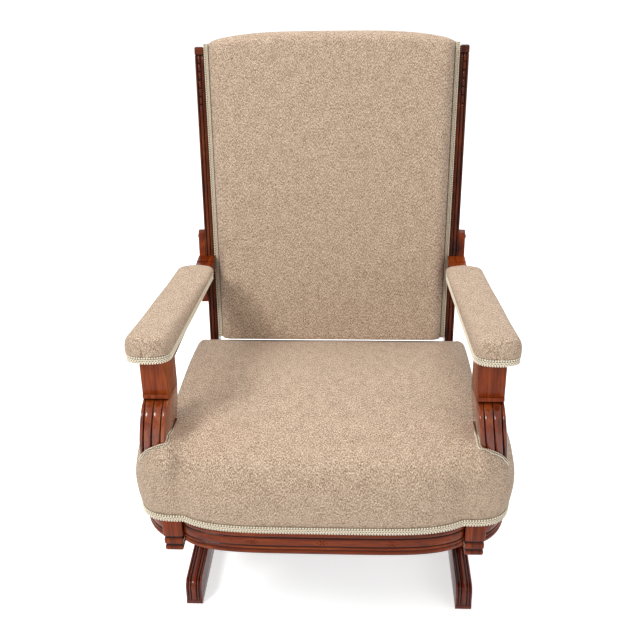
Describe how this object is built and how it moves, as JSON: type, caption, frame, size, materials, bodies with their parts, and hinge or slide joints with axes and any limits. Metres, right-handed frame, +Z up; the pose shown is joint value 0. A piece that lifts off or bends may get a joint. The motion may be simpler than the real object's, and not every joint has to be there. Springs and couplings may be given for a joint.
{
  "type": "platform rocker",
  "caption": "Upholstered rocking chair on a fixed wooden base: padded seat, reclined padded back, padded arms, reeded frame, sprung rocking action.",
  "frame": {"origin": "on the floor, midway between the front of the seat's gimp and the rear of the feet, and midway between the two sides", "axes": "+X towards the right as seen from the front, +Y towards the back, +Z up"},
  "size_m": [0.616, 0.712, 1.0036],
  "materials": {
    "wood": "gloss",
    "tweed": "matte",
    "gimp": "matte",
    "iron": "satin",
    "steel": "satin",
    "leather": "satin",
    "cambric": "matte",
    "jute": "matte"
  },
  "bodies": {
    "base": {"foot_left": "wood", "foot_right": "wood", "track_rail_left": "wood", "track_rail_right": "wood", "wear_strip_left": "leather", "wear_strip_right": "leather", "upright_front_left": "wood", "upright_front_right": "wood", "upright_rear_left": "wood", "upright_rear_right": "wood", "stretcher_front": "wood", "stretcher_rear": "wood", "lower_bracket_left": "iron", "lower_bracket_right": "iron", "rocker_springs_left": "steel", "rocker_springs_right": "steel", "base_screws": "steel"},
    "chair": {"rocker_left": "wood", "rocker_right": "wood", "upper_bracket_left": "iron", "upper_bracket_right": "iron", "chair_screws": "steel", "front_rail": "wood", "side_rail_left": "wood", "side_rail_right": "wood", "ear_rail_left": "wood", "ear_rail_right": "wood", "rear_rail": "wood", "corner_block_left": "wood", "corner_block_right": "wood", "corner_braces": "wood", "seat_webbing": "jute", "seat_springs": "steel", "seat_cushion": "tweed", "seat_gimp": "gimp", "dust_cover": "cambric", "stile_left": "wood", "stile_right": "wood", "back_top_rail": "wood", "back_lower_rail": "wood", "back_cushion": "tweed", "back_gimp_left": "gimp", "back_gimp_right": "gimp", "outside_back": "tweed", "arm_support_left": "wood", "arm_support_right": "wood", "arm_rail_left": "wood", "arm_rail_right": "wood", "arm_bracket_left": "wood", "arm_bracket_right": "wood", "arm_pad_left": "tweed", "arm_pad_right": "tweed", "arm_gimp_left": "gimp", "arm_gimp_right": "gimp"}
  },
  "joints": [
    {"name": "rock", "type": "hinge", "parent": "base", "child": "chair", "pos_m": [0, 0.01, 0.205], "axis": [1, 0, 0], "range_deg": [-8, 8], "stiffness_Nm_per_rad": 220, "springref_deg": -1.88, "deforming": ["rocker_springs_left", "rocker_springs_right", "wear_strip_left", "wear_strip_right"]}
  ]
}
